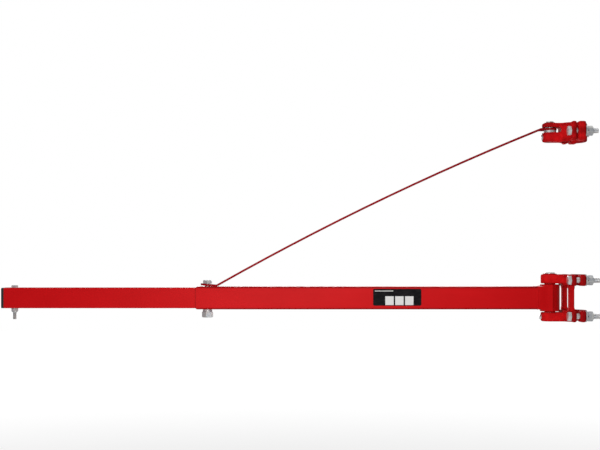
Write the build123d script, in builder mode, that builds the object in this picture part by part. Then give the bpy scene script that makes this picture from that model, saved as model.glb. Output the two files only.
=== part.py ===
"""Hoist swing arm: a telescopic arm that swings on a clamped bracket and hangs from a tie strap.

Millimetres. The origin is on the axis of the clamps at the height of the arm's centreline. +X runs out
along the arm, +Y is the side that carries the label plate and +Z is up.
"""

import os
from math import cos, radians, sin, sqrt, tan

from build123d import *

os.makedirs("parts", exist_ok=True)

# Fits
grip_clearance = 0.05  # jaw bore over its grip size, radial
running_clearance = 0.06  # sleeve and strap eye on their pins, radial
seat_clearance = 0.04  # pins in their ears, radial
thread_clearance = 0.05  # nut on its bolt, radial
weld_gap = 0.05  # sleeve in the knuckle, radial
plug_clearance = 0.2  # spigot and cap inside their tubes, each side
slide_clearance = 0.5  # extension inside the outer tube, each side

# Clamps
grip_d = 48.3
front_gap = 2.0  # clamp axis to the face of a front half
lower_gap = 6.0  # clamp axis to the face of a lower back jaw
upper_gap = 1.5  # clamp axis to the face of the upper back jaw
jaw_wall = 7.8
front_flange_t = 11.0
back_reach = 18.5  # clamp axis to the seats behind the back jaws
clamp_bolt_pitch = 80.0
flange_margin = 12.0  # bolt line to flange end
casting_round = 4.0
flange_corner_r = 5.0
neck_r = 6.0  # ear into boss
lip_r = 2.0  # edges of the ears towards the arm and of the clevis slot
pin_boss_t = 1.6
pin_boss_land = 5.0  # edge of a nose to its pin boss
pin_boss_r = 0.8  # rim of a pin boss

# Arm tubes
outer_size = 50.0
outer_wall = 2.0
outer_corner_r = 4.0
outer_end_x = 835.0
outer_end_r = 5.0  # corners of its open end, seen from the side
extension_wall = 2.5
extension_corner_r = 3.5
extension_end_x = 1257.0
extension_overlap = 195.0
travel = 350.0

# Pivot and lower bracket
pivot_pin_d = 18.0
pivot_head_d = 22.0
pivot_head_t = 2.8
sleeve_wall = 12.5
sleeve_chamfer = 1.0
sleeve_step = 2.0  # turned step at each end
sleeve_seat_wall = 3.0  # what is left of its wall there
swing_clearance = 0.8  # knuckle to the saddle's web
web_t = 2.0
ear_t = 20.0
ear_nose_r = 20.0
ear_clearance = 7.0  # tube to ear, above and below
flange_clearance = 2.0  # tube to the saddles as it swings past
sleeve_play = 0.3  # sleeve to each ear
knuckle_play = 2.5  # knuckle to each ear
bar_w = 12.0
bar_depth = 13.0
bar_back = 4.0  # clamp axis to the back of a bar
bar_offset = 1.8  # jaw bore to bar
bar_waist = 0.9
bar_flare_r = 8.0

# Knuckle
cheek_t = 1.5  # knuckle's cheek outside the sleeve
knuckle_wrap = 1.0  # how far it reaches past the sleeve's axis
knuckle_cheek = 8.0  # sleeve's axis to the start of the flare
knuckle_l = 31.0  # sleeve's axis to the tube
flare_land = 2.0  # straight stretch next to the tube
knuckle_round = 3.0
spigot_l = 35.0
spigot_wall = 5.0
spigot_corner_r = 3.0

# Upper clamp and tie strap
upper_clamp_z = 366.0
upper_ear_t = 9.0
lower_ear_t = 20.5
clevis_nose_r = 17.0
clevis_depth = 22.0  # pin axis to the floor of the slot
slot_play = 2.5
slot_corner_r = 4.0
strap_pin_d = 16.0
strap_head_d = 18.0
strap_head_t = 2.8
strap_w = 30.0
strap_t = 4.0
strap_bow = 13.0
strap_bend_r = 12.0
foot_reach = 20.0  # lock bolt to the lower bend
foot_tilt = 5.4  # degrees, rising to its free end
heel_drop = 0.25  # the eased bend lifts the strap by about this much
eye_reach = 22.0  # pin to the upper bend
eye_spacer_t = 5.5
eye_spacer_d = 28.0

# Pins and their lock screws
pin_recess = 1.0  # pin's foot above the underside of its ear
pin_chamfer = 1.0
pin_head_r = 1.8
pin_washer_play = 0.3  # washers and spacers round the pins, radial
lock_screw_d = 6.0
lock_screw_af = 10.0
lock_screw_head = 4.0
spot_depth = 1.0
spot_d = 13.0
dimple_depth = 2.0
dimple_play = 0.3
dimple_reach = 1.0  # how far the screw's tip stands in the dimple

# M12 fasteners
m12_d = 12.0
m12_hole_d = 13.0
m12_af = 19.0
m12_head = 7.5
m12_nut = 10.8
m12_heavy_af = 22.0
m12_heavy_nut = 13.0
m12_spot_d = 23.0  # room cut for the bolt heads
m12_washer_d = 24.0
m12_washer_t = 2.5
spring_washer_d = 21.0
spring_washer_hole_d = 12.4
spring_washer_t = 3.0
spring_washer_slit = 2.0
lower_bolt_l = 65.0
upper_bolt_l = 60.0
lock_inset = 25.0  # tube end to the lock bolt
lock_bolt_l = 74.5
lock_washer_d = 20.0
lock_nut_turn = 10.0  # degrees
nut_collar = 2.5

# M8 stop bolt
m8_d = 8.0
m8_hole_d = 9.0
m8_af = 13.0
m8_head = 5.3
m8_lock_nut = 8.0
m8_washer_d = 16.0
m8_washer_t = 1.6
stop_inset = 19.0  # tube end to the stop bolt
stop_bolt_l = 70.0

# End cap and label plate
cap_rim = 6.0
cap_plug = 10.0
cap_wall = 2.5
cap_round = 2.0
cap_corner_r = 1.5
label_l = 106.0
label_h = 37.0
label_t = 0.5
label_corner_r = 3.0
label_x = 391.0
label_z = 1.8

# Derived sizes
jaw_r = grip_d / 2 + grip_clearance
boss_r = jaw_r + jaw_wall
head_seat_x = front_gap + front_flange_t
bolt_y = clamp_bolt_pitch / 2
flange_half = bolt_y + flange_margin
web_x = jaw_r + web_t
sleeve_bore_r = pivot_pin_d / 2 + running_clearance
sleeve_r = sleeve_bore_r + sleeve_wall
cheek_half = sleeve_r + cheek_t
pivot_x = web_x + swing_clearance + cheek_half
ear_in = outer_size / 2 + ear_clearance
ear_out = ear_in + ear_t
flange_in = outer_size / 2 + flange_clearance
lower_bolt_z = (flange_in + ear_out) / 2
sleeve_half = ear_in - sleeve_play
knuckle_half = ear_in - knuckle_play
outer_start_x = pivot_x + knuckle_l
outer_bore = outer_size - 2 * outer_wall
extension_size = outer_bore - 2 * slide_clearance
extension_bore = extension_size - 2 * extension_wall
extension_start_x = outer_end_x - extension_overlap
lock_x = outer_end_x - lock_inset
stop_x = extension_end_x - stop_inset
slot_h = eye_spacer_t + strap_t + slot_play
upper_h = lower_ear_t + slot_h + upper_ear_t
upper_bottom = upper_clamp_z - upper_h / 2
upper_top = upper_bottom + upper_h
slot_bottom = upper_bottom + lower_ear_t
eye_z = slot_bottom + eye_spacer_t + strap_t / 2
heel_z = outer_size / 2 + strap_t / 2 - heel_drop
foot_rise = tan(radians(foot_tilt))
foot_z = heel_z + foot_reach * foot_rise


def across_corners(af):
    """Corner to corner of a hexagon of this size across its flats."""
    return af / cos(radians(30))


def chamfer_hex(seat, af, height, foot):
    """Turn the corners off a hexagon standing on the seat plane, at its top and, if asked, its foot."""
    top_r = 0.475 * af
    rim_r = across_corners(af) / 2 + 0.1
    drop = (rim_r - top_r) / sqrt(3)
    foot_points = [(top_r, 0), (rim_r, drop)] if foot else [(rim_r, 0)]
    outline = [(0, 0), *foot_points, (rim_r, height - drop), (top_r, height), (0, height)]
    with BuildPart() as turned:
        with BuildSketch(Plane(seat.origin, x_dir=seat.x_dir, z_dir=-seat.y_dir)):
            with BuildLine():
                Polyline(*outline, close=True)
            make_face()
        revolve(axis=Axis(seat.origin, seat.z_dir))
    return turned.part


def hex_bolt(seat, d, length, af, head):
    """A bolt whose head stands on the seat plane and whose shank runs back through it."""
    turned = chamfer_hex(seat, af, head, foot=False)
    with BuildPart() as bolt:
        with BuildSketch(seat):
            RegularPolygon(af / 2, 6, major_radius=False)
        extrude(amount=head)
        add(turned, mode=Mode.INTERSECT)
        with BuildSketch(seat):
            Circle(d / 2)
        extrude(amount=-length)
        tip = bolt.edges().sort_by(Axis(seat.origin, seat.z_dir))[0]
        chamfer(tip, 0.08 * d)
    return bolt.part


def hex_nut_on(seat, d, af, height):
    """A plain nut standing on the seat plane."""
    turned = chamfer_hex(seat, af, height, foot=True)
    with BuildPart() as nut:
        with BuildSketch(seat):
            RegularPolygon(af / 2, 6, major_radius=False)
        extrude(amount=height)
        add(turned, mode=Mode.INTERSECT)
        with BuildSketch(seat):
            Circle(d / 2 + thread_clearance)
        extrude(amount=height, mode=Mode.SUBTRACT)
    return nut.part


def lock_nut_on(seat, d, af, height):
    """A nut with a plain collar for its locking ring, standing on the seat plane."""
    hex_h = height - nut_collar * d / m12_d
    turned = chamfer_hex(seat, af, hex_h, foot=True)
    with BuildPart() as nut:
        with BuildSketch(seat):
            RegularPolygon(af / 2, 6, major_radius=False)
        extrude(amount=hex_h)
        add(turned, mode=Mode.INTERSECT)
        with BuildSketch(seat.offset(hex_h)):
            Circle(0.45 * af)
        extrude(amount=height - hex_h)
        rim = nut.edges().sort_by(Axis(seat.origin, seat.z_dir))[-1]
        fillet(rim, 0.06 * af)
        with BuildSketch(seat):
            Circle(d / 2 + thread_clearance)
        extrude(amount=height, mode=Mode.SUBTRACT)
    return nut.part


def washer_on(seat, outer_d, hole_d, thickness):
    """A flat washer lying on the seat plane."""
    with BuildPart() as washer:
        with BuildSketch(seat):
            Circle(outer_d / 2)
            Circle(hole_d / 2, mode=Mode.SUBTRACT)
        extrude(amount=thickness)
    return washer.part


def spring_washer_on(seat):
    """A split spring washer, pressed flat on the seat plane."""
    ring = washer_on(seat, spring_washer_d, spring_washer_hole_d, spring_washer_t)
    with BuildPart() as washer:
        add(ring)
        with BuildSketch(seat):
            with Locations((0, spring_washer_d / 2)):
                Rectangle(spring_washer_slit, spring_washer_d)
        extrude(amount=spring_washer_t, mode=Mode.SUBTRACT)
    return washer.part


def group(pieces):
    """Separate equal pieces kept together as one node."""
    with BuildPart() as several:
        for piece in pieces:
            add(piece)
    return several.part


def save(part, name):
    part.label = name
    export_step(part, f"parts/{name}.step")


def head_seats(z):
    """Where the two bolt heads of a clamp bear, facing out along the arm."""
    return [Plane((head_seat_x, side * bolt_y, z), x_dir=(0, 1, 0), z_dir=(1, 0, 0)) for side in (1, -1)]


def nut_seats(z, stand_off):
    """Where the washers, or the nuts on them, bear behind a clamp."""
    x = -back_reach - stand_off
    return [Plane((x, side * bolt_y, z), x_dir=(0, 0, 1), z_dir=(-1, 0, 0)) for side in (1, -1)]


def square_tube(size, wall, corner_r, start_x, end_x):
    """Square tube lying along the arm."""
    with BuildPart() as tube:
        with BuildSketch(Plane.YZ.offset(start_x)):
            RectangleRounded(size, size, corner_r)
            inside = size - 2 * wall
            RectangleRounded(inside, inside, corner_r - wall, mode=Mode.SUBTRACT)
        extrude(amount=end_x - start_x)
    return tube.part


def front_half(nose_r, bottom, top):
    """Front half of a clamp: flange, boss round the bore and the ear that carries the pin."""
    with BuildPart() as half:
        with BuildSketch(Plane.XY.offset(bottom)) as outline:
            Circle(boss_r)
            with Locations((pivot_x / 2, 0)):
                Rectangle(pivot_x, 2 * nose_r)
            with Locations((pivot_x, 0)):
                Circle(nose_r)
            with Locations((front_gap + front_flange_t / 2, 0)):
                Rectangle(front_flange_t, 2 * flange_half)
            with Locations((front_gap - boss_r, 0)):
                Rectangle(2 * boss_r, 2 * flange_half, mode=Mode.SUBTRACT)
            corners = outline.vertices()
            fillet(corners.filter_by(lambda v: abs(v.Y) > flange_half - 0.01), flange_corner_r)
            corners = outline.vertices()
            neck = sqrt(boss_r**2 - nose_r**2)
            fillet(corners.filter_by(lambda v: abs(v.X - neck) < 0.01 and abs(v.Y) > nose_r - 0.01), neck_r)
        extrude(amount=top - bottom)
        rims = half.edges().filter_by(lambda e: abs(e.center().Z - top) < 0.01)
        fillet(rims, casting_round)
        rims = half.edges().filter_by(lambda e: abs(e.center().Z - bottom) < 0.01)
        fillet(rims, casting_round)
    return half.part


def back_half(bottom, top, gap):
    """Back half of a clamp: flange and boss, drilled for the two bolts."""
    flange_t = back_reach - gap
    with BuildPart() as half:
        with BuildSketch(Plane.XY.offset(bottom)) as outline:
            Circle(boss_r)
            with Locations((-gap - flange_t / 2, 0)):
                Rectangle(flange_t, 2 * flange_half)
            with Locations((boss_r - gap, 0)):
                Rectangle(2 * boss_r, 2 * flange_half, mode=Mode.SUBTRACT)
            corners = outline.vertices()
            fillet(corners.filter_by(lambda v: abs(v.Y) > flange_half - 0.01), flange_corner_r)
        extrude(amount=top - bottom)
        rims = half.edges().filter_by(lambda e: abs(e.center().Z - top) < 0.01)
        fillet(rims, casting_round)
        rims = half.edges().filter_by(lambda e: abs(e.center().Z - bottom) < 0.01)
        fillet(rims, casting_round)
        with BuildSketch(Plane.XY.offset(bottom)):
            Circle(jaw_r)
        extrude(amount=top - bottom, mode=Mode.SUBTRACT)
        for seat in nut_seats((bottom + top) / 2, 0):
            with BuildSketch(seat):
                Circle(m12_hole_d / 2)
            extrude(amount=-2 * flange_t, mode=Mode.SUBTRACT)
    return half.part


def pin(d, head_d, head_t, top, bottom, dimple_z):
    """Headed pin on the swing axis with a dimple for its lock screw."""
    with BuildPart() as turned:
        with BuildSketch(Plane((pivot_x, 0, bottom))):
            Circle(d / 2)
        extrude(amount=top - bottom)
        with BuildSketch(Plane((pivot_x, 0, top))):
            Circle(head_d / 2)
        extrude(amount=head_t)
        chamfer(turned.edges().group_by(Axis.Z)[0], pin_chamfer)
        fillet(turned.edges().group_by(Axis.Z)[-1], pin_head_r)
        with BuildSketch(Plane((pivot_x + d / 2, 0, dimple_z), x_dir=(0, 1, 0), z_dir=(1, 0, 0))):
            Circle(lock_screw_d / 2 + dimple_play)
        extrude(amount=-dimple_depth, mode=Mode.SUBTRACT)
    return turned.part


def pin_boss(nose_r, z):
    """Raised ring of a nose on which the head of its pin bears."""
    with BuildPart() as boss:
        with BuildSketch(Plane((pivot_x, 0, z - casting_round))):
            Circle(nose_r - pin_boss_land)
        extrude(amount=casting_round + pin_boss_t)
        fillet(boss.edges().group_by(Axis.Z)[-1], pin_boss_r)
    return boss.part


def lock_screw_seat(nose_r, z):
    """Spot face in the nose of an ear."""
    return Plane((pivot_x + nose_r - spot_depth, 0, z), x_dir=(0, 1, 0), z_dir=(1, 0, 0))


def lock_screw_length(nose_r, pin_d):
    return nose_r - spot_depth - pin_d / 2 + dimple_reach


# Lower bracket: two ears for the pivot, two saddles in line and two bars that tie them
ear_mid = (ear_in + ear_out) / 2
upper_ear_half = front_half(ear_nose_r, flange_in, ear_out)
lower_ear_half = front_half(ear_nose_r, -ear_out, -flange_in)
pivot_boss = pin_boss(ear_nose_r, ear_out)
with BuildPart() as lower_bracket:
    add(upper_ear_half)
    add(lower_ear_half)
    with BuildSketch(Plane.XZ.offset(-(web_x + pivot_x))):
        with Locations((web_x + pivot_x, 0)):
            Rectangle(2 * pivot_x, 2 * ear_in)
    extrude(amount=2 * (web_x + pivot_x), mode=Mode.SUBTRACT)
    lips = lower_bracket.edges().filter_by(lambda e: abs(abs(e.center().Z) - ear_in) < 0.01)
    fillet(lips.filter_by(lambda e: e.center().X > web_x + lip_r / 2), lip_r)
    add(pivot_boss)
    for side in (1, -1):
        near = side * (jaw_r + bar_offset)
        with BuildSketch(Plane((0, near, 0), x_dir=(1, 0, 0), z_dir=(0, side, 0))) as bar:
            with Locations((bar_back + bar_depth / 2, 0)):
                Rectangle(bar_depth, 2 * flange_in + 2 * casting_round)
            for edge, way in ((bar_back, -1), (bar_back + bar_depth, 1)):
                with Locations((edge + way * (bar_flare_r + 4.0 - bar_waist), 0)):
                    RectangleRounded(2 * bar_flare_r + 8.0, 2 * flange_in, bar_flare_r, mode=Mode.SUBTRACT)
        extrude(amount=bar_w)
    with BuildSketch(Plane.XY.offset(-ear_out)):
        Circle(jaw_r)
    extrude(amount=2 * ear_out, mode=Mode.SUBTRACT)
    with BuildSketch(Plane((pivot_x, 0, -ear_out))):
        Circle(pivot_pin_d / 2 + seat_clearance)
    extrude(amount=2 * ear_out + pin_boss_t, mode=Mode.SUBTRACT)
    for seat in head_seats(lower_bolt_z) + head_seats(-lower_bolt_z):
        with BuildSketch(seat):
            Circle(m12_hole_d / 2)
        extrude(amount=-2 * front_flange_t, mode=Mode.SUBTRACT)
        with BuildSketch(seat):
            Circle(m12_spot_d / 2)
        extrude(amount=m12_head, mode=Mode.SUBTRACT)
    screw_seat = lock_screw_seat(ear_nose_r, -ear_mid)
    with BuildSketch(screw_seat):
        Circle(spot_d / 2)
    extrude(amount=2 * spot_depth, mode=Mode.SUBTRACT)
    with BuildSketch(screw_seat):
        Circle(lock_screw_d / 2 + thread_clearance)
    extrude(amount=-ear_nose_r + pivot_pin_d / 4, mode=Mode.SUBTRACT)
save(lower_bracket.part, "lower_bracket")

lower_bolt_seats = head_seats(lower_bolt_z) + head_seats(-lower_bolt_z)
lower_bolts = [hex_bolt(seat, m12_d, lower_bolt_l, m12_af, m12_head) for seat in lower_bolt_seats]
save(group(lower_bolts), "lower_clamp_bolts")

# Pivot pin and its lock screw
pin_top, pin_foot = ear_out + pin_boss_t, -ear_out + pin_recess
save(pin(pivot_pin_d, pivot_head_d, pivot_head_t, pin_top, pin_foot, -ear_mid), "pivot_pin")
screw_l = lock_screw_length(ear_nose_r, pivot_pin_d)
save(
    hex_bolt(lock_screw_seat(ear_nose_r, -ear_mid), lock_screw_d, screw_l, lock_screw_af, lock_screw_head),
    "pivot_pin_screw",
)

# Upper clamp: a front half split by the slot that takes the strap's eye
clevis_half = front_half(clevis_nose_r, upper_bottom, upper_top)
clevis_boss = pin_boss(clevis_nose_r, upper_top)
clevis_screw_z = upper_bottom + lower_ear_t / 2
with BuildPart() as upper_clamp:
    add(clevis_half)
    slot_floor = pivot_x - clevis_depth
    slot_l = clevis_depth + 2 * clevis_nose_r
    with BuildSketch(Plane.XZ.offset(-boss_r)) as slot:
        with Locations((slot_floor + slot_l / 2, slot_bottom + slot_h / 2)):
            RectangleRounded(slot_l, slot_h, slot_corner_r)
    extrude(amount=2 * boss_r, mode=Mode.SUBTRACT)
    slot_levels = (slot_bottom, slot_bottom + slot_h)
    lips = upper_clamp.edges().filter_by(lambda e: min(abs(e.center().Z - z) for z in slot_levels) < 0.01)
    fillet(lips.filter_by(lambda e: e.center().X > slot_floor + slot_corner_r), lip_r)
    add(clevis_boss)
    with BuildSketch(Plane.XY.offset(upper_bottom)):
        Circle(jaw_r)
        with Locations((pivot_x, 0)):
            Circle(strap_pin_d / 2 + seat_clearance)
    extrude(amount=upper_h + pin_boss_t, mode=Mode.SUBTRACT)
    for seat in head_seats(upper_clamp_z):
        with BuildSketch(seat):
            Circle(m12_hole_d / 2)
        extrude(amount=-2 * front_flange_t, mode=Mode.SUBTRACT)
        with BuildSketch(seat):
            Circle(m12_spot_d / 2)
        extrude(amount=m12_head, mode=Mode.SUBTRACT)
    screw_seat = lock_screw_seat(clevis_nose_r, clevis_screw_z)
    with BuildSketch(screw_seat):
        Circle(spot_d / 2)
    extrude(amount=2 * spot_depth, mode=Mode.SUBTRACT)
    with BuildSketch(screw_seat):
        Circle(lock_screw_d / 2 + thread_clearance)
    extrude(amount=-clevis_nose_r + strap_pin_d / 4, mode=Mode.SUBTRACT)
save(upper_clamp.part, "upper_clamp")

upper_bolts = [hex_bolt(seat, m12_d, upper_bolt_l, m12_af, m12_head) for seat in head_seats(upper_clamp_z)]
save(group(upper_bolts), "upper_clamp_bolts")

# Strap pin, its lock screw and the spacer under the strap's eye
pin_top, pin_foot = upper_top + pin_boss_t, upper_bottom + pin_recess
save(pin(strap_pin_d, strap_head_d, strap_head_t, pin_top, pin_foot, clevis_screw_z), "strap_pin")
screw_l = lock_screw_length(clevis_nose_r, strap_pin_d)
clevis_screw_seat = lock_screw_seat(clevis_nose_r, clevis_screw_z)
save(
    hex_bolt(clevis_screw_seat, lock_screw_d, screw_l, lock_screw_af, lock_screw_head),
    "strap_pin_screw",
)
eye_seat = Plane((pivot_x, 0, slot_bottom))
eye_hole_d = strap_pin_d + 2 * pin_washer_play
save(washer_on(eye_seat, eye_spacer_d, eye_hole_d, eye_spacer_t), "eye_spacer")

# Back halves of the clamps with their washers and nuts
clamp_sets = (
    ("upper", upper_bottom, upper_top, upper_gap),
    ("lower_top", flange_in, ear_out, lower_gap),
    ("lower_bottom", -ear_out, -flange_in, lower_gap),
)
nut_stand = m12_washer_t + spring_washer_t
for name, bottom, top, gap in clamp_sets:
    mid = (bottom + top) / 2
    save(back_half(bottom, top, gap), f"{name}_back_jaw")
    washers = [washer_on(s, m12_washer_d, m12_hole_d, m12_washer_t) for s in nut_seats(mid, 0)]
    save(group(washers), f"{name}_jaw_washers")
    springs = [spring_washer_on(s) for s in nut_seats(mid, m12_washer_t)]
    save(group(springs), f"{name}_jaw_spring_washers")
    nuts = [hex_nut_on(s, m12_d, m12_af, m12_nut) for s in nut_seats(mid, nut_stand)]
    save(group(nuts), f"{name}_jaw_nuts")

# Pivot sleeve and the knuckle that joins it to the outer tube
with BuildPart() as pivot_sleeve:
    with BuildSketch(Plane((pivot_x, 0, sleeve_step - sleeve_half))):
        Circle(sleeve_r)
    extrude(amount=2 * (sleeve_half - sleeve_step))
    chamfer(pivot_sleeve.edges().filter_by(GeomType.CIRCLE), sleeve_chamfer)
    with BuildSketch(Plane((pivot_x, 0, -sleeve_half))):
        Circle(sleeve_bore_r + sleeve_seat_wall)
    extrude(amount=2 * sleeve_half)
    with BuildSketch(Plane((pivot_x, 0, -sleeve_half))):
        Circle(sleeve_bore_r)
    extrude(amount=2 * sleeve_half, mode=Mode.SUBTRACT)
save(pivot_sleeve.part, "pivot_sleeve")

wrap_x = pivot_x - knuckle_wrap
cheek_x = pivot_x + knuckle_cheek
flare_x = outer_start_x - flare_land
half = outer_size / 2


def knuckle_outline(low, high):
    """Outline of the knuckle seen from one side: straight cheeks that ease into the tube's width."""
    ahead = (1, 0)
    Line((wrap_x, low), (cheek_x, low))
    Spline((cheek_x, low), (flare_x, -half), tangents=(ahead, ahead))
    Polyline((flare_x, -half), (outer_start_x, -half), (outer_start_x, half), (flare_x, half))
    Spline((cheek_x, high), (flare_x, half), tangents=(ahead, ahead))
    Polyline((cheek_x, high), (wrap_x, high), (wrap_x, low))


spigot_size = outer_bore - 2 * plug_clearance
spigot_bore = spigot_size - 2 * spigot_wall
with BuildPart() as arm_knuckle:
    with BuildSketch(Plane.XZ.offset(-half)):
        with BuildLine():
            knuckle_outline(-knuckle_half, knuckle_half)
        make_face()
    extrude(amount=2 * half)
    with BuildSketch(Plane.XY.offset(-knuckle_half)):
        with BuildLine():
            knuckle_outline(-cheek_half, cheek_half)
        make_face()
    extrude(amount=2 * knuckle_half, mode=Mode.INTERSECT)
    long_edges = arm_knuckle.edges().filter_by(lambda e: e.bounding_box().size.X > flare_land / 2)
    fillet(long_edges, knuckle_round)
    with BuildSketch(Plane.YZ.offset(outer_start_x)):
        RectangleRounded(spigot_size, spigot_size, outer_corner_r - outer_wall + plug_clearance)
    extrude(amount=spigot_l)
    with BuildSketch(Plane.YZ.offset(outer_start_x + spigot_l)):
        RectangleRounded(spigot_bore, spigot_bore, spigot_corner_r)
    extrude(amount=-spigot_l, mode=Mode.SUBTRACT)
    with BuildSketch(Plane((pivot_x, 0, -knuckle_half))):
        Circle(sleeve_r + weld_gap)
    extrude(amount=2 * knuckle_half, mode=Mode.SUBTRACT)
save(arm_knuckle.part, "arm_knuckle")

# Outer tube, drilled for the lock bolt and eased at its open end, and the plate on its side
outer_blank = square_tube(outer_size, outer_wall, outer_corner_r, outer_start_x, outer_end_x)
with BuildPart() as outer_tube:
    add(outer_blank)
    with BuildSketch(Plane((lock_x, 0, -outer_size))):
        Circle(m12_hole_d / 2)
    extrude(amount=2 * outer_size, mode=Mode.SUBTRACT)
    with BuildSketch(Plane.XZ.offset(-outer_size)):
        for side in (1, -1):
            with Locations((outer_end_x - outer_end_r / 2, side * (outer_size - outer_end_r) / 2)):
                Rectangle(outer_end_r, outer_end_r)
            with Locations((outer_end_x - outer_end_r, side * (outer_size / 2 - outer_end_r))):
                Circle(outer_end_r, mode=Mode.SUBTRACT)
    extrude(amount=2 * outer_size, mode=Mode.SUBTRACT)
save(outer_tube.part, "outer_tube")

with BuildPart() as label_plate:
    with BuildSketch(Plane((label_x, outer_size / 2, label_z), x_dir=(-1, 0, 0), z_dir=(0, 1, 0))):
        RectangleRounded(label_l, label_h, label_corner_r)
    extrude(amount=label_t)
save(label_plate.part, "label_plate")

# Tie strap: flat bar with a foot under the lock bolt, a long bow and an eye on the strap pin
toe_reach = strap_w / 2 + 2.0
toe = (lock_x + toe_reach, foot_z + toe_reach * foot_rise)
foot_bend = (lock_x - foot_reach, heel_z)
eye_bend = (pivot_x + eye_reach, eye_z)
with BuildPart() as tie_strap:
    with BuildLine(Plane.XZ) as bend_line:
        Line(toe, foot_bend)
        SagittaArc(foot_bend, eye_bend, -strap_bow)
        Line(eye_bend, (pivot_x - strap_w / 2, eye_z))
        bends = bend_line.vertices().filter_by(lambda v: pivot_x < v.X < lock_x)
        fillet(bends, strap_bend_r)
    with BuildSketch(Plane((toe[0], 0, toe[1]), x_dir=(0, 1, 0), z_dir=(-1, 0, -foot_rise))):
        Rectangle(strap_w, strap_t)
    sweep()
    with BuildSketch(Plane.XY):
        with Locations(((lock_x + pivot_x) / 2, 0)):
            SlotCenterToCenter(lock_x - pivot_x, strap_w)
    extrude(amount=upper_top, mode=Mode.INTERSECT)
    with BuildSketch(Plane.XY):
        with Locations((lock_x, 0)):
            Circle(m12_hole_d / 2)
        with Locations((pivot_x, 0)):
            Circle(strap_pin_d / 2 + running_clearance)
    extrude(amount=upper_top, mode=Mode.SUBTRACT)
save(tie_strap.part, "tie_strap")

# Lock bolt through the strap, the outer tube and the extension's slot
head_rest = foot_z + m12_af / 2 * foot_rise + strap_t / 2 / cos(radians(foot_tilt))
lock_seat = Plane((lock_x, 0, head_rest), x_dir=(0, 1, 0))
save(hex_bolt(lock_seat, m12_d, lock_bolt_l, m12_af, m12_head), "lock_bolt")
turned = radians(lock_nut_turn)
under_seat = Plane((lock_x, 0, -outer_size / 2), x_dir=(sin(turned), cos(turned), 0), z_dir=(0, 0, -1))
save(washer_on(under_seat, lock_washer_d, m12_hole_d, m12_washer_t), "lock_washer")
save(spring_washer_on(under_seat.offset(m12_washer_t)), "lock_spring_washer")
save(hex_nut_on(under_seat.offset(nut_stand), m12_d, m12_heavy_af, m12_heavy_nut), "lock_nut")

# Extension tube, slotted top and bottom so it slides past the lock bolt, with its cap and stop bolt
extension_blank = square_tube(
    extension_size, extension_wall, extension_corner_r, extension_start_x, extension_end_x
)
with BuildPart() as extension_tube:
    add(extension_blank)
    with BuildSketch(Plane.XY.offset(-extension_size)):
        with Locations((lock_x + travel / 2, 0)):
            SlotCenterToCenter(travel, m12_hole_d)
        with Locations((stop_x, 0)):
            Circle(m8_hole_d / 2)
    extrude(amount=2 * extension_size, mode=Mode.SUBTRACT)
save(extension_tube.part, "extension_tube")

plug_size = extension_bore - 2 * plug_clearance
with BuildPart() as end_cap:
    with BuildSketch(Plane.YZ.offset(extension_end_x)):
        RectangleRounded(extension_size, extension_size, extension_corner_r)
    extrude(amount=cap_rim)
    fillet(end_cap.edges().group_by(Axis.X)[-1], cap_round)
    with BuildSketch(Plane.YZ.offset(extension_end_x)):
        RectangleRounded(plug_size, plug_size, cap_corner_r)
        hollow = plug_size - 2 * cap_wall
        RectangleRounded(hollow, hollow, cap_corner_r, mode=Mode.SUBTRACT)
    extrude(amount=-cap_plug)
save(end_cap.part, "end_cap")

stop_seat = Plane((stop_x, 0, extension_size / 2))
save(hex_bolt(stop_seat, m8_d, stop_bolt_l, m8_af, m8_head), "stop_bolt")
stop_under = Plane((stop_x, 0, -extension_size / 2), x_dir=(1, 0, 0), z_dir=(0, 0, -1))
save(washer_on(stop_under, m8_washer_d, m8_hole_d, m8_washer_t), "stop_washer")
save(lock_nut_on(stop_under.offset(m8_washer_t), m8_d, m8_af, m8_lock_nut), "stop_nut")
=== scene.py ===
import math

import bmesh
import bpy
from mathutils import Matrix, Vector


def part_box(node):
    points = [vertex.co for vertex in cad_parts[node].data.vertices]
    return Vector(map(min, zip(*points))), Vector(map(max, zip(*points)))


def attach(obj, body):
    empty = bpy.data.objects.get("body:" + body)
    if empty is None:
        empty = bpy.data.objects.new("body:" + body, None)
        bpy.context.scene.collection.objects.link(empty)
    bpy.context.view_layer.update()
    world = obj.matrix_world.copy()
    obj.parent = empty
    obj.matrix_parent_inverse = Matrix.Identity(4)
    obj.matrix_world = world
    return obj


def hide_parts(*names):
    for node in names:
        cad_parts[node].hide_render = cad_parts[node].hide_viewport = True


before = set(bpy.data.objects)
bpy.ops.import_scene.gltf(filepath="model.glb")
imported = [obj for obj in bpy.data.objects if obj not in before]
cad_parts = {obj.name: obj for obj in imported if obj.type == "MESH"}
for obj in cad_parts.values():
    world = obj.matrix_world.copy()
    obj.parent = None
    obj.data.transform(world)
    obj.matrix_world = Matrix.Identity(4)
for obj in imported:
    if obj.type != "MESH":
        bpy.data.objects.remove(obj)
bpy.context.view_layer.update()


# Lower bracket: one iron casting with two ears for the pivot, two saddles and two bars between them.
# It is fettled, drilled for its pin and bolts, and sprayed red over a skin that still shows the sand.
MM = 0.001


class Value:
    """A socket of a node tree. Sums written on it add the tree's Math nodes."""

    def __init__(self, graph, socket):
        self.graph, self.socket = graph, socket

    def do(self, operation, *others):
        return self.graph.sum(operation, self, *others)

    def __add__(self, other):
        return self.do("ADD", other)

    def __sub__(self, other):
        return self.do("SUBTRACT", other)

    def __rsub__(self, other):
        return self.graph.sum("SUBTRACT", other, self)

    def __mul__(self, other):
        return self.do("MULTIPLY", other)

    def __truediv__(self, other):
        return self.do("DIVIDE", other)

    def __mod__(self, other):
        return self.do("FLOORED_MODULO", other)

    def __abs__(self):
        return self.do("ABSOLUTE")

    __radd__, __rmul__ = __add__, __mul__


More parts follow.
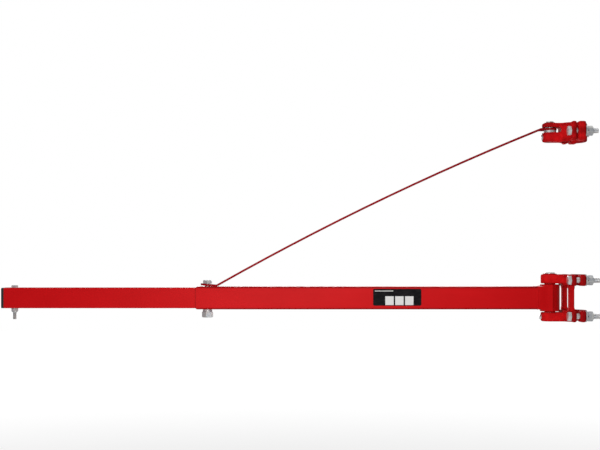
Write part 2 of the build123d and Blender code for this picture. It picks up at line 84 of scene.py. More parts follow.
class Graph:
    """A node tree filled in by calls. A node is its kind, its settings, then its sockets."""

    def __init__(self, tree):
        self.tree = tree

    def node(self, kind, settings=None, sockets=None, output=0):
        made = self.tree.nodes.new(kind)
        for name, setting in (settings or {}).items():
            setattr(made, name, setting)
        for key, value in (sockets or {}).items():
            if isinstance(value, Value):
                self.tree.links.new(value.socket, made.inputs[key])
            else:
                made.inputs[key].default_value = value
        return Value(self, made.outputs[output])

    def sum(self, operation, *terms):
        return self.node("ShaderNodeMath", {"operation": operation}, dict(enumerate(terms)))


class Finish(Graph):
    """A painted, plated or moulded surface: a material laid out on object coordinates."""

    def __init__(self, name):
        self.material = bpy.data.materials.new(name)
        self.material.use_nodes = True
        super().__init__(self.material.node_tree)
        self.place = self.node("ShaderNodeTexCoord", output="Object")

    def along(self, axis):
        """Place along X, Y or Z, counted 0, 1, 2."""
        return self.node("ShaderNodeSeparateXYZ", None, {0: self.place}, axis)

    def cloud(self, size, detail=2.0, stretch=(1.0, 1.0, 1.0)):
        """Cloudy noise about a half, in lumps of this size."""
        scale = [1 / (size * s) for s in stretch]
        spot = self.node("ShaderNodeVectorMath", {"operation": "MULTIPLY"}, {0: self.place, 1: scale})
        return self.node("ShaderNodeTexNoise", None, {"Vector": spot, "Scale": 1.0, "Detail": detail}, "Fac")

    def ramp(self, value, low, high):
        """0 at low, 1 at high, eased between."""
        return self.node(
            "ShaderNodeMapRange",
            {"interpolation_type": "SMOOTHSTEP"},
            {"Value": value, "From Min": low, "From Max": high},
        )

    def tint(self, share, first, second):
        """The first colour where the share is 0 and the second where it is 1."""
        return self.node("ShaderNodeMix", {"data_type": "RGBA"}, {0: share, 6: first, 7: second}, 2)

    def relief(self, height, depth, under=None):
        """Bumps of this depth, laid over another relief if one is given."""
        sockets = {"Height": height, "Distance": depth}
        if under:
            sockets["Normal"] = under
        return self.node("ShaderNodeBump", None, sockets)

    def painted_edge_shade(self, reach):
        """1 on outer edges and noses of a solid piece and 0 on its flats: where painted shade goes."""
        settings = {"inside": True, "only_local": True, "samples": 8}
        return 1 - self.node("ShaderNodeAmbientOcclusion", settings, {"Distance": reach}, "AO")

    def feed(self, sockets):
        shader = self.tree.nodes["Principled BSDF"]
        for name, value in sockets.items():
            if isinstance(value, Value):
                self.tree.links.new(value.socket, shader.inputs[name])
            else:
                shader.inputs[name].default_value = value
        return self.material


def cast_paint(name, flash_heights):
    """Red spray paint over sand-cast iron, with the mould's flash line at each of these heights and painted
    shade on its edges.
    """
    skin = Finish(name)
    sand = skin.cloud(1.2 * MM, 3.0)
    swell = skin.cloud(13 * MM)
    breakup = skin.cloud(4 * MM)
    height = skin.along(2)
    flash = 0.0
    for level in flash_heights:
        flash = flash + skin.ramp(abs(height - level), 0.9 * MM, 0.25 * MM)
    # Painted shade: rounded edges, noses, bars and jaws are darkened in the colour, broken up a little by
    # noise.
    painted_shade_share = skin.ramp(skin.painted_edge_shade(10 * MM) + 0.25 * breakup, 0.30, 0.85)
    coat = skin.tint(skin.ramp(swell, 0.3, 0.7), (0.63, 0.005, 0.007, 1), (0.76, 0.008, 0.010, 1))
    coat = skin.tint(0.7 * painted_shade_share, coat, (0.15, 0.001, 0.002, 1))
    under = skin.relief(swell, 0.5 * MM)
    under = skin.relief(sand + 0.6 * flash, 0.16 * MM, under)
    return skin.feed({
        "Base Color": coat,
        "Roughness": 0.62 + 0.25 * sand,
        "Specular IOR Level": 0.06,
        "Normal": under,
    })


def dress(node, material):
    """Put a finish on a piece of the frame that keeps its shape."""
    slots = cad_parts[node].data.materials
    for index in range(len(slots)):
        slots[index] = material


def middle(node, axis):
    """Where a piece is centred along X, Y or Z, counted 0, 1, 2."""
    low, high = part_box(node)
    return (low[axis] + high[axis]) / 2


saddle_z = middle("lower_top_back_jaw", 2)
dress("lower_bracket", cast_paint("bracket_paint", (saddle_z, -saddle_z)))


# Upper clamp: the front half of the top clamp, cast with a forked nose that takes the strap's eye.
# Same iron and same paint as the bracket.
clevis_z = middle("upper_back_jaw", 2)
clevis_paint = cast_paint("clevis_paint", (clevis_z,))
dress("upper_clamp", clevis_paint)


# Clamp bolts: six hexagon bolts, rolled thread on the last 30 mm, zinc plated, their zinc brightened as a
# painted highlight. Their heads bear on the flanges of the bracket and the upper clamp and their shanks run
# back through the jaws.
class Recipe(Graph):
    """A geometry tree with named inputs that makes pieces from a few points or edges."""

    def __init__(self, name, inputs):
        super().__init__(bpy.data.node_groups.new(name, "GeometryNodeTree"))
        sockets = self.tree.interface
        for label, kind in inputs.items():
            sockets.new_socket(label, in_out="INPUT", socket_type=f"NodeSocket{kind}")
        sockets.new_socket("Piece", in_out="OUTPUT", socket_type="NodeSocketGeometry")
        entry = self.tree.nodes.new("NodeGroupInput")
        self.given = [Value(self, entry.outputs[label]) for label in inputs]

    def turned_grid(self, rows, way):
        """A sheet to roll up: its geometry, the angle round the axis, the share of a turn and the row."""
        facets = 48
        sizes = {"Size X": 1.0, "Size Y": 1.0, "Vertices X": facets + 1, "Vertices Y": rows + 0.25}
        sheet = self.node("GeometryNodeMeshGrid", None, sizes)
        spot = self.node("GeometryNodeInputPosition")
        share = self.node("ShaderNodeSeparateXYZ", None, {0: spot}, 0) + 0.5
        row = (self.node("ShaderNodeSeparateXYZ", None, {0: spot}, 1) + 0.5) * (rows - 1)
        return sheet, share * (way * math.tau), share, row.do("ROUND")

    def hexagon(self, flats, angle):
        """Distance from the axis to the side of a hexagon at this angle."""
        off = (angle + math.pi / 6) % (math.pi / 3) - math.pi / 6
        return flats / 2 / off.do("COSINE")

    def roll(self, sheet, angle, radius, height):
        """Roll the sheet up to this radius and height, close its seam and smooth its rounds."""
        spot = self.node("ShaderNodeCombineXYZ", None, {
            0: radius * angle.do("COSINE"), 1: radius * angle.do("SINE"), 2: height,
        })
        rolled = self.node("GeometryNodeSetPosition", None, {"Geometry": sheet, "Position": spot})
        closed = self.node("GeometryNodeMergeByDistance", None, {"Geometry": rolled, "Distance": 1e-6})
        smooth = self.node("GeometryNodeSetShadeSmooth", {"domain": "FACE"}, {"Geometry": closed})
        bend = self.node("GeometryNodeInputMeshEdgeAngle")
        sharp = math.radians(38)
        return self.node("GeometryNodeSetShadeSmooth", {"domain": "EDGE"}, {
            "Geometry": smooth, "Shade Smooth": bend.do("LESS_THAN", sharp),
        })

    def seat(self, piece, seats, turn):
        """Turn the piece and set one on each seat."""
        turned = self.node("GeometryNodeTransform", None, {"Geometry": piece, "Rotation": turn})
        return self.node("GeometryNodeInstanceOnPoints", None, {"Points": seats, "Instance": turned})

    def close(self, pieces, finish):
        """Make the pieces real, put their finish on and end the tree."""
        made = self.node("GeometryNodeRealizeInstances", None, {"Geometry": pieces})
        made = self.node("GeometryNodeSetMaterial", None, {"Geometry": made, "Material": finish})
        way_out = self.tree.nodes.new("NodeGroupOutput")
        self.tree.links.new(made.socket, way_out.inputs[0])
        return self

    def make(self, name, points, sizes, edges=()):
        """Run the tree on these points and keep what it makes as a plain mesh."""
        seats = bpy.data.meshes.new("seats")
        seats.from_pydata(points, edges, [])
        maker = bpy.data.objects.new("maker", seats)
        bpy.context.scene.collection.objects.link(maker)
        recipe = maker.modifiers.new("recipe", "NODES")
        recipe.node_group = self.tree
        for socket in self.tree.interface.items_tree:
            if socket.in_out == "INPUT" and socket.name in sizes:
                recipe[socket.identifier] = sizes[socket.name]
        made = maker.evaluated_get(bpy.context.evaluated_depsgraph_get())
        piece = bpy.data.objects.new(name, bpy.data.meshes.new_from_object(made))
        bpy.data.objects.remove(maker)
        bpy.context.scene.collection.objects.link(piece)
        return piece


def bolt_recipe():
    """A hexagon bolt on each seat, its head along its own Z and its thread cut from the tip."""
    recipe = Recipe("hexagon_bolt", {
        "Seats": "Geometry", "Diameter": "Float", "Pitch": "Float", "Length": "Float", "Thread": "Float",
        "Flats": "Float", "Head": "Float", "Turn": "Vector", "Finish": "Material",
    })
    seats, diameter, pitch, length, thread, flats, head, turn, finish = recipe.given
    steps = 8
    head_rows = 5
    rows = (steps * (thread / pitch + 1)).do("CEIL") + head_rows + 2
    sheet, angle, share, row = recipe.turned_grid(rows, -1)
    corner = recipe.hexagon(flats, angle)
    rim = 0.475 * flats
    shank = diameter / 2
    step = row - head_rows - steps
    start = thread - length
    level = start - (step / steps + share) * pitch
    level = level.do("MINIMUM", start).do("MAXIMUM", 0 - length)
    wave = 1 - abs(2 * ((step / steps) % 1.0) - 1)
    crest = (1.5 * wave - 0.25).do("MAXIMUM", 0.0).do("MINIMUM", 1.0)
    depth = 0.6 * pitch
    groove = shank - depth * (1 - crest)
    groove = groove.do("MAXIMUM", shank - (start - level) / 2)
    groove = groove.do("MINIMUM", shank - 1.15 * depth + level + length)
    radius = row.do("GREATER_THAN", head_rows - 0.5) * (rows - 1.5).do("GREATER_THAN", row) * groove
    height = row.do("GREATER_THAN", head_rows - 0.5) * level
    chamfer = (corner - rim) / math.sqrt(3)
    outline = ((0.0, head), (rim, head), (corner, head - chamfer), (corner, 0.0), (shank, 0.0))
    for count, (out, up) in enumerate(outline):
        here = row.do("COMPARE", count, 0.5)
        radius = radius + here * out
        height = height + here * up
    bolt = recipe.roll(sheet, angle, radius, height)
    return recipe.close(recipe.seat(bolt, seats, turn), finish)


def zinc_plate(name, dull, bright, shine, metal_share, rough):
    """Zinc plate: blue-grey with yellowish patches, tumbled to a fine grain."""
    plate = Finish(name)
    bath = plate.cloud(8 * MM)
    grain = plate.cloud(0.45 * MM, 3.0)
    rubbed = plate.cloud(0.7 * MM, 2.0, (1.0, 9.0, 3.0))
    metal = plate.tint(plate.ramp(bath, 0.36, 0.66), dull, bright)
    return plate.feed({
        "Base Color": plate.tint(plate.ramp(rubbed, 0.52, 0.75), metal, shine),
        "Metallic": metal_share,
        "Roughness": rough + 0.26 * grain + 0.1 * bath,
        "Normal": plate.relief(grain, 0.012 * MM),
    })


def replace(piece, node, body):
    """Let a new piece stand for a piece of the frame."""
    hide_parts(node)
    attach(piece, body)


hexagon_bolt = bolt_recipe()
# Painted highlight: the bolts' zinc is a brighter copy of the washers' and nuts' zinc.
bolt_zinc = zinc_plate(
    "bolt_zinc", dull=(0.66, 0.67, 0.69, 1), bright=(0.76, 0.75, 0.73, 1), shine=(0.88, 0.88, 0.87, 1),
    metal_share=0.75, rough=0.2,
)
m12 = {"Diameter": 12 * MM, "Pitch": 1.75 * MM, "Flats": 19 * MM}
m12_head = 7.5 * MM
m12_thread = 30 * MM
facing_out = (0.0, math.pi / 2, 0.0)
bolt_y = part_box("upper_jaw_nuts")[1][1] - m12["Flats"] / 2
for node, levels in (("lower_clamp_bolts", (saddle_z, -saddle_z)), ("upper_clamp_bolts", (clevis_z,))):
    tip, head_top = (corner[0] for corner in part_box(node))
    seats = [(head_top - m12_head, side * bolt_y, level) for level in levels for side in (1, -1)]
    bolts = hexagon_bolt.make(f"{node}_threaded", seats, {
        **m12, "Head": m12_head, "Length": head_top - m12_head - tip, "Thread": m12_thread,
        "Turn": facing_out, "Finish": bolt_zinc,
    })
    replace(bolts, node, "pole_clamps")


# Back jaws: the loose back halves of the three clamps, cast and painted as the bracket is. Each slides
# on its pair of bolts and is drawn up by their nuts.
jaw_sets = {"upper": "upper_jaw", "lower_top": "lower_top_jaw", "lower_bottom": "lower_bottom_jaw"}
for prefix in jaw_sets:
    jaw = f"{prefix}_back_jaw"
    dress(jaw, cast_paint(f"{jaw}_paint", (middle(jaw, 2),)))


# Clamp washers: a stamped flat washer and a split spring washer under each nut, zinc plated, in a darker
# copy of the bolts' zinc that is painted shade, and with their stamped edges eased.
def eased(node, width, material, angle=35.0):
    """A piece of the frame again, merged, with its sharp edges eased by this much."""
    form = bmesh.new()
    form.from_mesh(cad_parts[node].data)
    bmesh.ops.remove_doubles(form, verts=form.verts, dist=1e-6)
    bmesh.ops.dissolve_limit(form, angle_limit=math.radians(0.5), verts=form.verts, edges=form.edges)
    mesh = bpy.data.meshes.new(f"{node}_eased")
    form.to_mesh(mesh)
    form.free()
    if "custom_normal" in mesh.attributes:
        mesh.attributes.remove(mesh.attributes["custom_normal"])
    mesh.materials.clear()
    mesh.materials.append(material)
    for face in mesh.polygons:
        face.use_smooth = True
        face.material_index = 0
    piece = bpy.data.objects.new(f"{node}_eased", mesh)
    bpy.context.scene.collection.objects.link(piece)
    edge = piece.modifiers.new("eased edges", "BEVEL")
    edge.width = width
    edge.segments = 2
    edge.limit_method = "ANGLE"
    edge.angle_limit = math.radians(angle)
    edge.harden_normals = True
    return piece


# Painted shade: a darker copy of the bolts' zinc, for washers, nuts, the spacer and the arm's bolts.
washer_zinc = zinc_plate(
    "washer_zinc", dull=(0.42, 0.44, 0.47, 1), bright=(0.54, 0.54, 0.52, 1), shine=(0.66, 0.66, 0.65, 1),
    metal_share=0.6, rough=0.3,
)
for prefix, body in jaw_sets.items():
    for node, width in ((f"{prefix}_jaw_washers", 0.35 * MM), (f"{prefix}_jaw_spring_washers", 0.3 * MM)):
        replace(eased(node, width, washer_zinc), node, body)


# Clamp nuts: plain hexagon nuts, chamfered on both faces and zinc plated, two behind each back jaw.
# They draw the jaw up on its bolts, and let it slide when they are backed off.
def nut_recipe():
    """A hexagon nut on each seat. A collar of some height makes it a locking nut."""
    recipe = Recipe("hexagon_nut", {
        "Seats": "Geometry", "Diameter": "Float", "Flats": "Float", "Height": "Float", "Collar": "Float",
        "Turn": "Vector", "Finish": "Material",
    })
    seats, diameter, flats, tall, collar, turn, finish = recipe.given
    nut_rows = 11
    rows = recipe.node("ShaderNodeValue")
    rows.socket.default_value = nut_rows
    sheet, angle, _, row = recipe.turned_grid(rows, 1)
    corner = recipe.hexagon(flats, angle)
    rim, neck = 0.475 * flats, 0.45 * flats
    drop = (corner - rim) / math.sqrt(3)
    hexagon, lip = tall - collar, 0.4 * collar
    bore, sink = diameter / 2 + 0.05 * MM, 0.06 * diameter
    outline = (
        (bore, 0.0), (rim, 0.0), (corner, drop), (corner, hexagon - drop), (rim, hexagon), (neck, hexagon),
        (neck, tall - lip), (neck - lip, tall), (bore + sink, tall), (bore, tall - sink), (bore, 0.0),
    )
    radius = height = 0.0
    for count, (out, up) in enumerate(outline):
        here = row.do("COMPARE", count, 0.5)
        radius = here * out + radius
        height = here * up + height
    nut = recipe.roll(sheet, angle, radius, height)
    return recipe.close(recipe.seat(nut, seats, turn), finish)


hexagon_nut = nut_recipe()
facing_back = (-math.pi / 2, 0.0, math.pi / 2)
for prefix, body in jaw_sets.items():
    node = f"{prefix}_jaw_nuts"
    low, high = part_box(node)
    seats = [(high[0], side * bolt_y, middle(node, 2)) for side in (1, -1)]
    nuts = hexagon_nut.make(f"{node}_turned", seats, {
        "Diameter": m12["Diameter"], "Flats": m12["Flats"], "Height": high[0] - low[0], "Collar": 0.0,
        "Turn": facing_back, "Finish": washer_zinc,
    })
    replace(nuts, node, body)


# Pins: the pivot pin through the bracket's ears and the strap pin through the clevis, turned from bar
# with a shallow domed head, and plated. The tool's rings still show.
def turned_steel(name, axis_x):
    """Turned and plated steel with tool rings round an upright axis."""
    steel = Finish(name)
    across = steel.along(0) - axis_x
    out = (across * across + steel.along(1) * steel.along(1)).do("SQRT")
    cut = steel.node(
        "ShaderNodeTexNoise",
        {"noise_dimensions": "1D"},
        {"W": (out / 0.32 + steel.along(2) / 0.4) / MM, "Scale": 1.0, "Detail": 1.0},
        "Fac",
    )
    bath = steel.cloud(7 * MM)
    return steel.feed({
        "Base Color": steel.tint(steel.ramp(bath, 0.35, 0.7), (0.50, 0.50, 0.51, 1), (0.62, 0.61, 0.58, 1)),
        "Metallic": 0.4,
        "Roughness": 0.22 + 0.2 * cut,
        "Normal": steel.relief(cut, 0.02 * MM),
    })


pin_x = middle("pivot_pin", 0)
pin_steel = turned_steel("turned_pin_steel", pin_x)
dress("pivot_pin", pin_steel)
dress("strap_pin", pin_steel)


# Pin screws: a short hexagon screw in the nose of the bracket's lower ear and of the clevis, run in
# until its tip stands in the dimple of the pin.
m6 = {"Diameter": 6 * MM, "Pitch": 1.0 * MM, "Flats": 10 * MM}
m6_head = 4 * MM
plain_shank = 1.5 * MM
for node in ("pivot_pin_screw", "strap_pin_screw"):
    low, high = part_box(node)
    length = high[0] - m6_head - low[0]
    seat = (high[0] - m6_head, middle(node, 1), middle(node, 2))
    screw = hexagon_bolt.make(f"{node}_threaded", [seat], {
        **m6, "Head": m6_head, "Length": length, "Thread": length - plain_shank,
        "Turn": facing_out, "Finish": bolt_zinc,
    })
    replace(screw, node, "pole_clamps")


# Spacer ring: a zinc plated steel ring on the strap pin, in the fork of the upper clamp. The strap's
# eye lies on it and turns on it.
replace(eased("eye_spacer", 0.4 * MM, washer_zinc), "eye_spacer", "pole_clamps")


# Pivot sleeve: a thick steel tube that turns on the pivot pin, welded into the arm's knuckle and powder
# coated red with it. Its red is darker than the arm's, as painted shade.
def powder_coat(name, deep, bright, shine=0.06, corner=None, end=None):
    """Red powder coat with orange peel, with painted shade along a square tube's corners and at its open end
    when these are given.
    """
    coat = Finish(name)
    film = coat.cloud(60 * MM, 2.0, (2.5, 1.0, 1.0))
    ripple = coat.cloud(1.7 * MM, 1.0)
    speck = coat.cloud(0.5 * MM, 2.0)
    under = coat.relief(coat.cloud(24 * MM, 1.0, (2.0, 1.0, 1.0)), 0.12 * MM)
    tone = coat.tint(coat.ramp(film, 0.3, 0.7), deep, bright)
    # Painted shade: the corners of the tube and a band at its open end are darkened in the colour.
    if corner:
        inner, outer, sawn_band = corner - 4.8 * MM, corner - 1.0 * MM, 2.6 * MM
        near = [coat.ramp(abs(coat.along(axis)), inner, outer) for axis in (1, 2)]
        sawn = coat.ramp(coat.along(0), end - sawn_band, end)
        painted_edge_shade = (0.72 * near[0] * near[1]).do("MAXIMUM", 0.45 * sawn)
        tone = coat.tint(painted_edge_shade, tone, (0.16, 0.001, 0.002, 1))
    return coat.feed({
        "Base Color": tone,
        "Roughness": 0.36 + 0.1 * ripple + 0.08 * speck,
        "Specular IOR Level": shine,
        "Normal": coat.relief(ripple, 0.03 * MM, under),
    })


arm_coat = powder_coat("arm_powder_coat", (0.60, 0.004, 0.006, 1), (0.65, 0.005, 0.0075, 1))
sleeve_shaded_coat = powder_coat("sleeve_powder_coat", (0.46, 0.003, 0.004, 1), (0.51, 0.003, 0.005, 1))
replace(eased("pivot_sleeve", 0.3 * MM, sleeve_shaded_coat), "pivot_sleeve", "arm")


# Knuckle: a forged block that wraps the sleeve and eases into the square of the outer tube, with a
# spigot inside the tube. Welded all round and coated with the arm.
dress("arm_knuckle", arm_coat)


# Outer tube: 50 mm square steel tube, sawn to length, drilled for the lock bolt and powder coated. One
# end is welded to the knuckle and the extension slides in the other.
tube_end, tube_half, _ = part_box("outer_tube")[1]
# The outer tube's coat carries painted shade along its four corners and at its open end.
tube_coat = powder_coat(
    "tube_powder_coat", (0.60, 0.004, 0.006, 1), (0.65, 0.005, 0.0075, 1), corner=tube_half, end=tube_end
)
replace(eased("outer_tube", 0.5 * MM, tube_coat), "outer_tube", "arm")


# Welds: a slim bead round the joint of knuckle and tube and one down each cheek of the knuckle where it
# meets the sleeve, laid in overlapping ripples and coated over.
def bead_recipe():
    """Overlapping ripples along a path of edges."""
    recipe = Recipe("weld_bead", {
        "Path": "Geometry", "Width": "Float", "Ripple": "Float", "Finish": "Material",
    })
    path, width, ripple, finish = recipe.given
    line = recipe.node("GeometryNodeMeshToCurve", None, {"Mesh": path})
    spots = recipe.node("GeometryNodeCurveToPoints", {"mode": "LENGTH"}, {"Curve": line, "Length": ripple})
    heading = Value(recipe, spots.socket.node.outputs["Rotation"])
    drop = recipe.node("GeometryNodeMeshUVSphere", None, {"Segments": 14, "Rings": 8, "Radius": 1.0})
    drop = recipe.node("GeometryNodeSetShadeSmooth", {"domain": "FACE"}, {"Geometry": drop})
    slim, full = 0.9, 1.08
    vary = recipe.node("FunctionNodeRandomValue", {"data_type": "FLOAT"}, {2: slim, 3: full, "Seed": 4}, 1)
    across = width / 2 * vary
    size = recipe.node("ShaderNodeCombineXYZ", None, {0: across, 1: across, 2: 0.95 * ripple})
    beads = recipe.node("GeometryNodeInstanceOnPoints", None, {
        "Points": spots, "Instance": drop, "Rotation": heading, "Scale": size,
    })
    return recipe.close(beads, finish)


def square_loop(x, half, corner_r, steps=5):
    """Points round a rounded square across the arm."""
    points = []
    for quarter in range(4):
        turn = quarter * math.pi / 2
        for step in range(steps + 1):
            angle = step / steps * math.pi / 2
            y = half - corner_r + corner_r * math.cos(angle)
            z = half - corner_r + corner_r * math.sin(angle)
            across = y * math.cos(turn) - z * math.sin(turn)
            up = y * math.sin(turn) + z * math.cos(turn)
            points.append((x, across, up))
    return points


weld_bead = bead_recipe()
tube_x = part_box("outer_tube")[0][0]
weld_sunk = 0.9 * MM
weld_corner_r = 3.4 * MM
ring = square_loop(tube_x, tube_half - weld_sunk, weld_corner_r)
edges = [(i, (i + 1) % len(ring)) for i in range(len(ring))]
tube_weld = weld_bead.make("tube_weld", ring, {
    "Width": 3.0 * MM, "Ripple": 1.3 * MM, "Finish": arm_coat,
}, edges)
knuckle_low, knuckle_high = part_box("arm_knuckle")
cheek_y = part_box("pivot_sleeve")[1][1] - weld_sunk
cheek_inset, cheek_back = 3 * MM, 1.0 * MM
path, edges = [], []
for side in (1, -1):
    edges.append((len(path), len(path) + 1))
    for level in (knuckle_low[2] + cheek_inset, knuckle_high[2] - cheek_inset):
        path.append((knuckle_low[0] - cheek_back, side * cheek_y, level))
# The cheek welds take the sleeve's darker coat, which is painted shade.
cheek_welds = weld_bead.make("cheek_welds", path, {
    "Width": 5.5 * MM, "Ripple": 1.6 * MM, "Finish": sleeve_shaded_coat,
}, edges)
for weld in (tube_weld, cheek_welds):
    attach(weld, "arm")


# Label plate: black printed film on the side of the tube. The print is left plain: three blank white
# panels and a thin white bar.
def printed_film(name):
    """Glossy black film with blank white panels, laid out in millimetres from the plate's middle."""
    film = Finish(name)
    x, z = (film.along(axis) - middle("label_plate", axis) for axis in (0, 2))
    first_x, panel_z, panel_pitch = 17.0, -7.4, 21.7
    panel_wide, panel_tall = 18.4, 19.4
    panels = [(first_x - count * panel_pitch, panel_z, panel_wide, panel_tall) for count in range(3)]
    bar = (29.0, 13.8, 40.0, 1.6)
    soft = 0.1
    white = 0.0
    for at_x, at_z, wide, tall in (*panels, bar):
        in_x = film.ramp(abs(x - at_x * MM), (wide / 2 + soft) * MM, (wide / 2 - soft) * MM)
        in_z = film.ramp(abs(z - at_z * MM), (tall / 2 + soft) * MM, (tall / 2 - soft) * MM)
        white = in_x * in_z + white
    scuff = film.cloud(3 * MM, 4.0, (3.0, 1.0, 1.0))
    ink = film.tint(film.ramp(scuff, 0.35, 0.75), (0.006, 0.006, 0.007, 1), (0.016, 0.015, 0.017, 1))
    return film.feed({
        "Base Color": film.tint(white, ink, (0.78, 0.77, 0.76, 1)),
        "Roughness": 0.4 + 0.25 * scuff,
        "Specular IOR Level": 0.03,
        "Normal": film.relief(film.cloud(9 * MM, 1.0), 0.06 * MM),
    })


label_film = printed_film("plain_label_film")
replace(eased("label_plate", 0.12 * MM, label_film), "label_plate", "arm")


# Tie strap: 30 by 4 mm flat bar, bent at both ends and bowed between them, with round ends and a darker red
# coat that is painted shade. Its eye turns on the strap pin and its foot is under the head of the lock bolt.
strap_shaded_coat = powder_coat("strap_powder_coat", (0.30, 0.005, 0.010, 1), (0.35, 0.007, 0.013, 1), 0.0)
replace(eased("tie_strap", 0.45 * MM, strap_shaded_coat), "tie_strap", "arm")


# Lock bolt: a long M12 bolt down through the strap's foot and both tubes, with a narrow washer, a spring
# washer and a heavy plain nut below. Zinc plated, its zinc darker than the clamp bolts' as painted shade.
for node in ("lock_washer", "lock_spring_washer"):
    replace(eased(node, 0.3 * MM, washer_zinc), node, "arm")
low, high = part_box("lock_bolt")
lock_x = middle("lock_bolt", 0)
lock_bolt = hexagon_bolt.make("lock_bolt_threaded", [(lock_x, 0.0, high[2] - m12_head)], {
    **m12, "Head": m12_head, "Length": high[2] - m12_head - low[2], "Thread": m12_thread,
    "Turn": (0.0, 0.0, 0.0), "Finish": washer_zinc,
})
replace(lock_bolt, "lock_bolt", "arm")
low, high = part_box("lock_nut")
heavy_flats = 22 * MM
nut_turn = math.radians(-10)
lock_nut = hexagon_nut.make("lock_nut_turned", [(lock_x, 0.0, high[2])], {
    "Diameter": m12["Diameter"], "Flats": heavy_flats, "Height": high[2] - low[2], "Collar": 0.0,
    "Turn": (math.pi, 0.0, nut_turn), "Finish": washer_zinc,
})
replace(lock_nut, "lock_nut", "arm")


# Extension tube: 45 mm square steel tube that slides in the outer tube, slotted top and bottom for the
# lock bolt, powder coated with the arm.
replace(eased("extension_tube", 0.5 * MM, arm_coat), "extension_tube", "extension")


# End cap: a black moulded plug pressed into the open end of the extension. Its rim covers the sawn
# edge of the tube.
def moulded_plastic(name):
    """Black moulded plastic with a fine spark-eroded grain."""
    plastic = Finish(name)
    grain = plastic.cloud(0.4 * MM, 2.0)
    flow = plastic.cloud(12 * MM)
    black, grey = (0.010, 0.009, 0.008, 1), (0.020, 0.018, 0.016, 1)
    return plastic.feed({
        "Base Color": plastic.tint(plastic.ramp(flow, 0.3, 0.7), black, grey),
        "Roughness": 0.38 + 0.2 * grain,
        "Specular IOR Level": 0.4,
        "Normal": plastic.relief(grain, 0.03 * MM),
    })


dress("end_cap", moulded_plastic("cap_moulding"))


# Stop bolt: an M8 bolt down through the tip of the extension with a washer and a locking nut under it,
# which keeps a hoist from running off the end. Zinc plated.
replace(eased("stop_washer", 0.25 * MM, washer_zinc), "stop_washer", "extension")
low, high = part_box("stop_bolt")
stop_x = middle("stop_bolt", 0)
m8 = {"Diameter": 8 * MM, "Pitch": 1.25 * MM, "Flats": 13 * MM}
m8_head, m8_thread, m8_collar = 5.3 * MM, 22 * MM, 1.67 * MM
stop_bolt = hexagon_bolt.make("stop_bolt_threaded", [(stop_x, 0.0, high[2] - m8_head)], {
    **m8, "Head": m8_head, "Length": high[2] - m8_head - low[2], "Thread": m8_thread,
    "Turn": (0.0, 0.0, math.pi / 2), "Finish": washer_zinc,
})
replace(stop_bolt, "stop_bolt", "extension")
low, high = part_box("stop_nut")
stop_nut = hexagon_nut.make("stop_nut_turned", [(stop_x, 0.0, high[2])], {
    "Diameter": m8["Diameter"], "Flats": m8["Flats"], "Height": high[2] - low[2], "Collar": m8_collar,
    "Turn": (math.pi, 0.0, math.pi / 2), "Finish": washer_zinc,
})
replace(stop_nut, "stop_nut", "extension")


# Studio: a wide pale floor well below the arm, in a white room. A softbox in front of the arm is the main
# light, with a larger one above and one behind it.
floor_half, floor_z = 14.0, -0.95
floor_mesh = bpy.data.meshes.new("floor")
corners = [(floor_half * x, floor_half * y, floor_z) for x, y in ((-1, -1), (1, -1), (1, 1), (-1, 1))]
floor_mesh.from_pydata(corners, [], [(0, 1, 2, 3)])
floor = bpy.data.objects.new("floor", floor_mesh)
bpy.context.scene.collection.objects.link(floor)


def seen(graph, mirrored):
    """1 to the camera, this much in a reflection or through a pane, 0 to light falling on the object."""
    rays = graph.node("ShaderNodeLightPath").socket.node.outputs
    share = Value(graph, rays["Is Camera Ray"])
    for name in ("Is Glossy Ray", "Is Transmission Ray"):
        share = share.do("MAXIMUM", Value(graph, rays[name]) * mirrored)
    return share


pale = Finish("pale_floor")
dust = pale.cloud(0.5, 2.0)
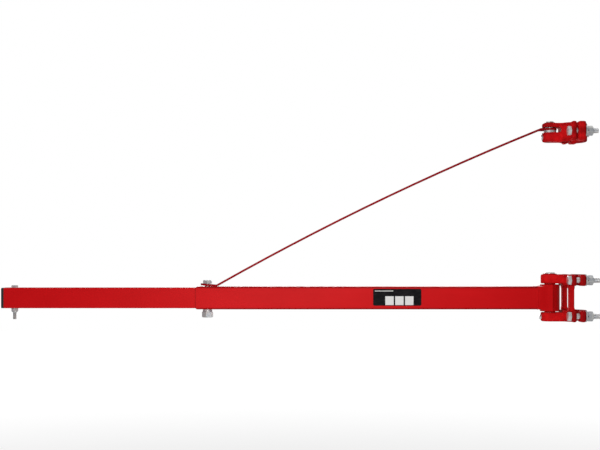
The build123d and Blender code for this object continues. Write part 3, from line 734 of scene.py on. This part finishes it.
# Painted light: the floor glows to camera and reflected rays, less within a metre of the arm so its shadow
# shows there, and more from six metres out.
shadow_x, shadow_reach, clear_of_shadow = 0.6, 1.0, 6.0
off_x = pale.along(0) - shadow_x
away = (off_x * off_x + pale.along(1) * pale.along(1)).do("SQRT")
far = pale.ramp(away, shadow_reach, clear_of_shadow)
lift = pale.tint(far, (0.45, 0.45, 0.45, 1), (0.80, 0.80, 0.80, 1))
pale.feed({
    "Base Color": pale.tint(dust, (0.84, 0.84, 0.84, 1), (0.87, 0.87, 0.87, 1)),
    "Roughness": 0.9,
    "Specular IOR Level": 0.0,
    "Emission Color": pale.tint(seen(pale, 0.45), (0, 0, 0, 1), lift),
    "Emission Strength": 1.0,
})
floor_mesh.materials.append(pale.material)

room = bpy.data.worlds.new("white_room")
room.use_nodes = True
bpy.context.scene.world = room
air = Graph(room.node_tree)
ambient = 0.25
behind_camera = 0.15
heading = air.node("ShaderNodeTexCoord", output="Object")
ahead = air.node("ShaderNodeSeparateXYZ", None, {0: heading}, 1)
aside = air.node("ShaderNodeSeparateXYZ", None, {0: heading}, 0)
backdrop = air.node(
    "ShaderNodeMapRange",
    {"interpolation_type": "SMOOTHSTEP"},
    {
        "Value": ahead + 0.5 * aside, "From Min": 0.45, "From Max": -0.45,
        "To Min": behind_camera, "To Max": 1.0,
    },
)
sky = room.node_tree.nodes["Background"].inputs
sky["Color"].default_value = (1, 1, 1, 1)
air.tree.links.new((ambient + (1 - ambient) * seen(air, backdrop)).socket, sky["Strength"])

arm_middle = (0.62, 0.0, 0.08)
for name, place, width, depth, power in (
    ("key_softbox", (0.64, 1.15, 0.10), 0.7, 0.5, 8.6),
    ("top_softbox", (0.55, 0.10, 1.90), 1.4, 0.8, 10.0),
    ("back_softbox", (0.45, -1.60, 0.35), 1.2, 0.8, 12.0),
):
    lamp = bpy.data.lights.new(name, "AREA")
    lamp.shape = "RECTANGLE"
    lamp.size, lamp.size_y = width, depth
    lamp.energy = power
    holder = bpy.data.objects.new(name, lamp)
    bpy.context.scene.collection.objects.link(holder)
    holder.location = place
    aim = [arm_middle[i] - place[i] for i in range(3)]
    flat = math.hypot(aim[0], aim[1])
    holder.rotation_euler = (math.atan2(flat, -aim[2]), 0.0, math.atan2(aim[1], aim[0]) - math.pi / 2)
    holder.visible_camera = False

lens = bpy.data.cameras.new("camera")
lens.sensor_width = 36
lens.lens = 66.2
lens.shift_y = 0.0617
camera = bpy.data.objects.new("camera", lens)
bpy.context.scene.collection.objects.link(camera)
camera.location = (0.6047, 2.45, 0.0793)
camera.rotation_euler = (math.radians(90), 0, math.radians(180))
bpy.context.scene.camera = camera
bpy.context.scene.view_settings.view_transform = "Standard"
